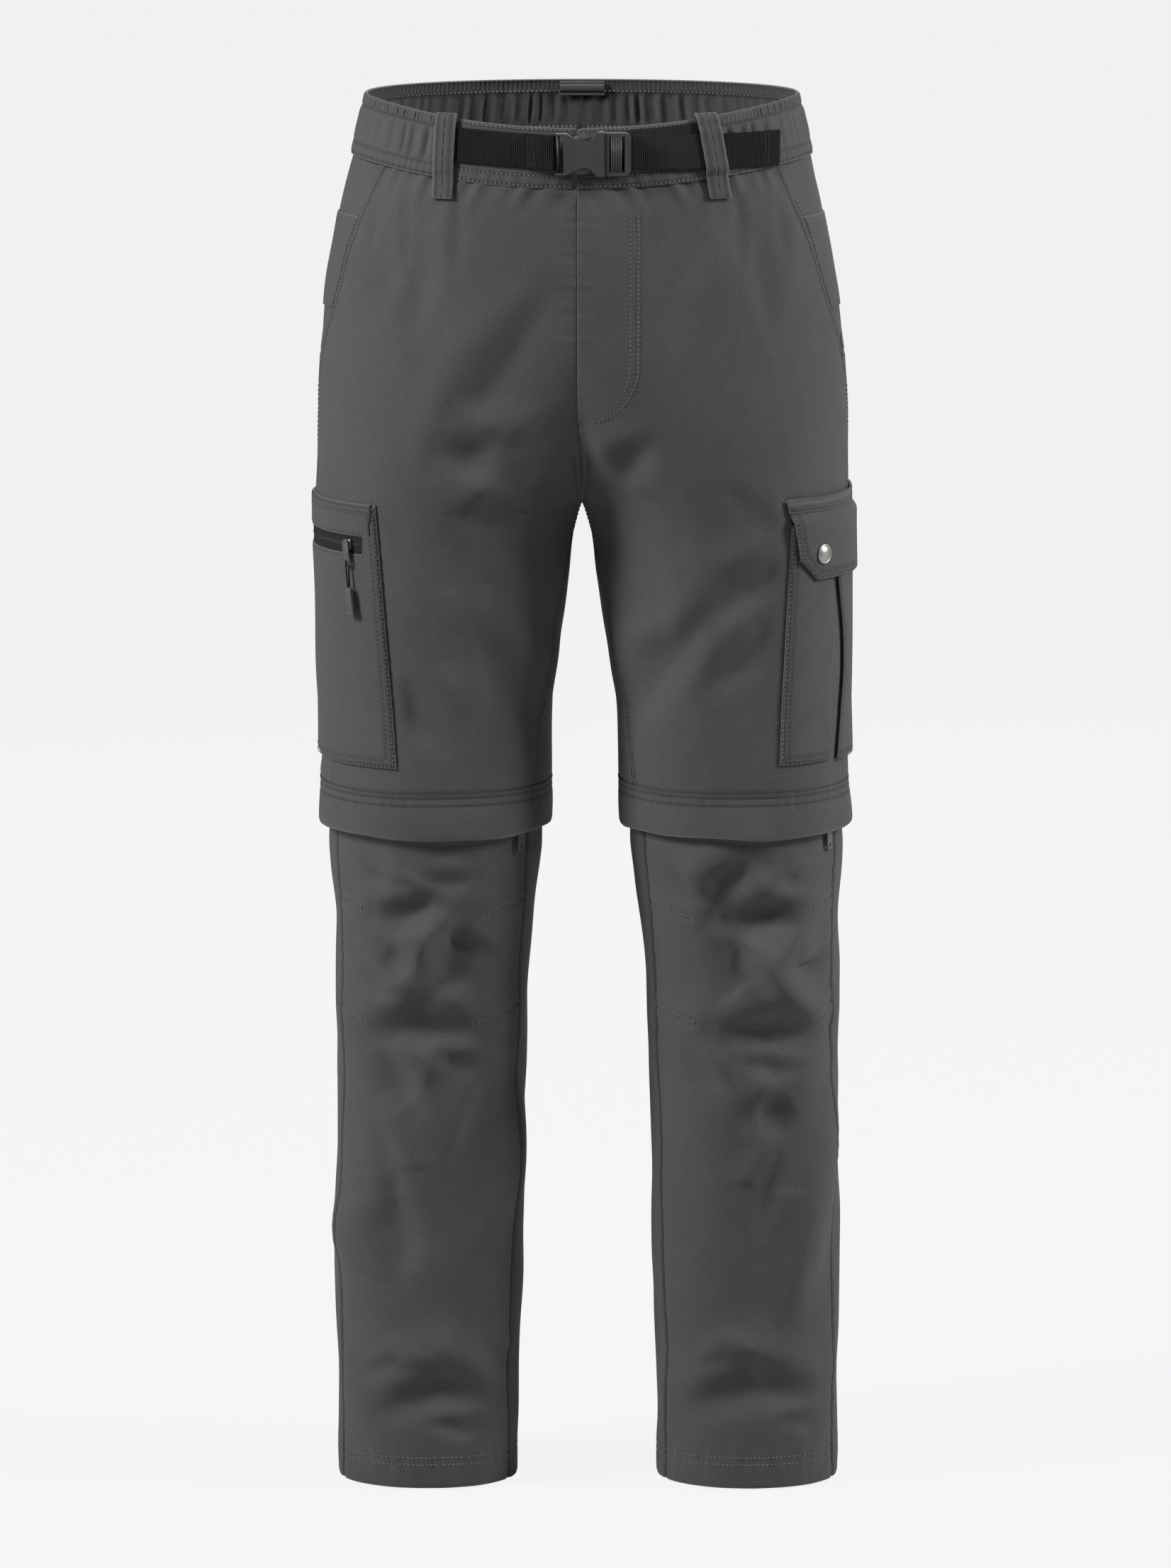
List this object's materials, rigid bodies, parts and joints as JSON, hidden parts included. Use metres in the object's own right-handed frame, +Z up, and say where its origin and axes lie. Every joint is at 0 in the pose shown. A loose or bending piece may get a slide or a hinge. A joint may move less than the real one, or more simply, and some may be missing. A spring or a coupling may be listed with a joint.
{
  "type": "convertible zip-off trousers",
  "caption": "Hiking trousers whose lower legs zip off at the knee, worn form with open waist and hems, cargo pockets and an integral buckled belt",
  "frame": {"origin": "centre of the waistband's ring, where the wearer holds the trousers up", "axes": "+Z up through the open waist, front of the trousers towards -Y, wearer's right leg at -X"},
  "size_m": [0.4131, 0.2575, 1.0643],
  "materials": {
    "cloth": "charcoal fine woven stretch twill, dry matt",
    "zip_tape": "black knitted zip tape with moulded coil",
    "webbing": "black ribbed webbing and cord",
    "buckle_plastic": "dark moulded acetal, fine matt",
    "grip_plastic": "grey moulded zip grip",
    "zip_metal": "dark nickel-plated die casting",
    "snap_metal": "pewter-coloured snap cap"
  },
  "bodies": {
    "trousers": {"back_panel_left": "cloth", "back_panel_right": "cloth", "back_patch": "cloth", "belt_loop_left": "cloth", "belt_loop_right": "cloth", "belt_strap_long": "webbing", "belt_strap_short": "webbing", "belt_strap_under": "webbing", "buckle_insert": "buckle_plastic", "buckle_socket": "buckle_plastic", "cargo_flap": "cloth", "cargo_flap_seam": "cloth", "cargo_pocket_front": "cloth", "cargo_pocket_rear": "cloth", "cargo_snap": "snap_metal", "front_panel_left": "cloth", "front_panel_right": "cloth", "hip_facing_left": "cloth", "hip_facing_right": "cloth", "hip_pocket_left": "cloth", "hip_pocket_right": "cloth", "leg_slider_left": "zip_metal", "leg_slider_right": "zip_metal", "leg_zip_left": "zip_tape", "leg_zip_right": "zip_tape", "pocket_zip_slider": "zip_metal", "shin_back_left": "cloth", "shin_back_right": "cloth", "shin_front_left": "cloth", "shin_front_right": "cloth", "storm_flap_left": "cloth", "storm_flap_right": "cloth", "waistband_back_left": "cloth", "waistband_back_right": "cloth", "waistband_front_left": "cloth", "waistband_front_right": "cloth", "zip_pocket_bag": "cloth", "zip_pocket_top": "cloth", "zip_pocket_zip": "zip_tape"},
    "pocket_pull": {"pocket_pull_tab": "zip_metal", "pocket_pull_cord": "webbing", "pocket_pull_grip": "grip_plastic"},
    "leg_pull_right": {"leg_pull_right": "zip_metal"},
    "leg_pull_left": {"leg_pull_left": "zip_metal"}
  },
  "joints": [
    {"name": "pocket_pull_hinge", "type": "hinge", "parent": "trousers", "child": "pocket_pull", "pos_m": [-0.17771, -0.07957, -0.30472], "axis": [-0.6919, 0.722, 0], "range_deg": [0, 100]},
    {"name": "leg_pull_right_hinge", "type": "hinge", "parent": "trousers", "child": "leg_pull_right", "pos_m": [-0.0457, -0.06489, -0.51715], "axis": [0.7958, -0.6055, 0], "range_deg": [-14, 14]},
    {"name": "leg_pull_left_hinge", "type": "hinge", "parent": "trousers", "child": "leg_pull_left", "pos_m": [0.18789, -0.05483, -0.51705], "axis": [0.8704, -0.4923, 0], "range_deg": [-14, 14]}
  ]
}
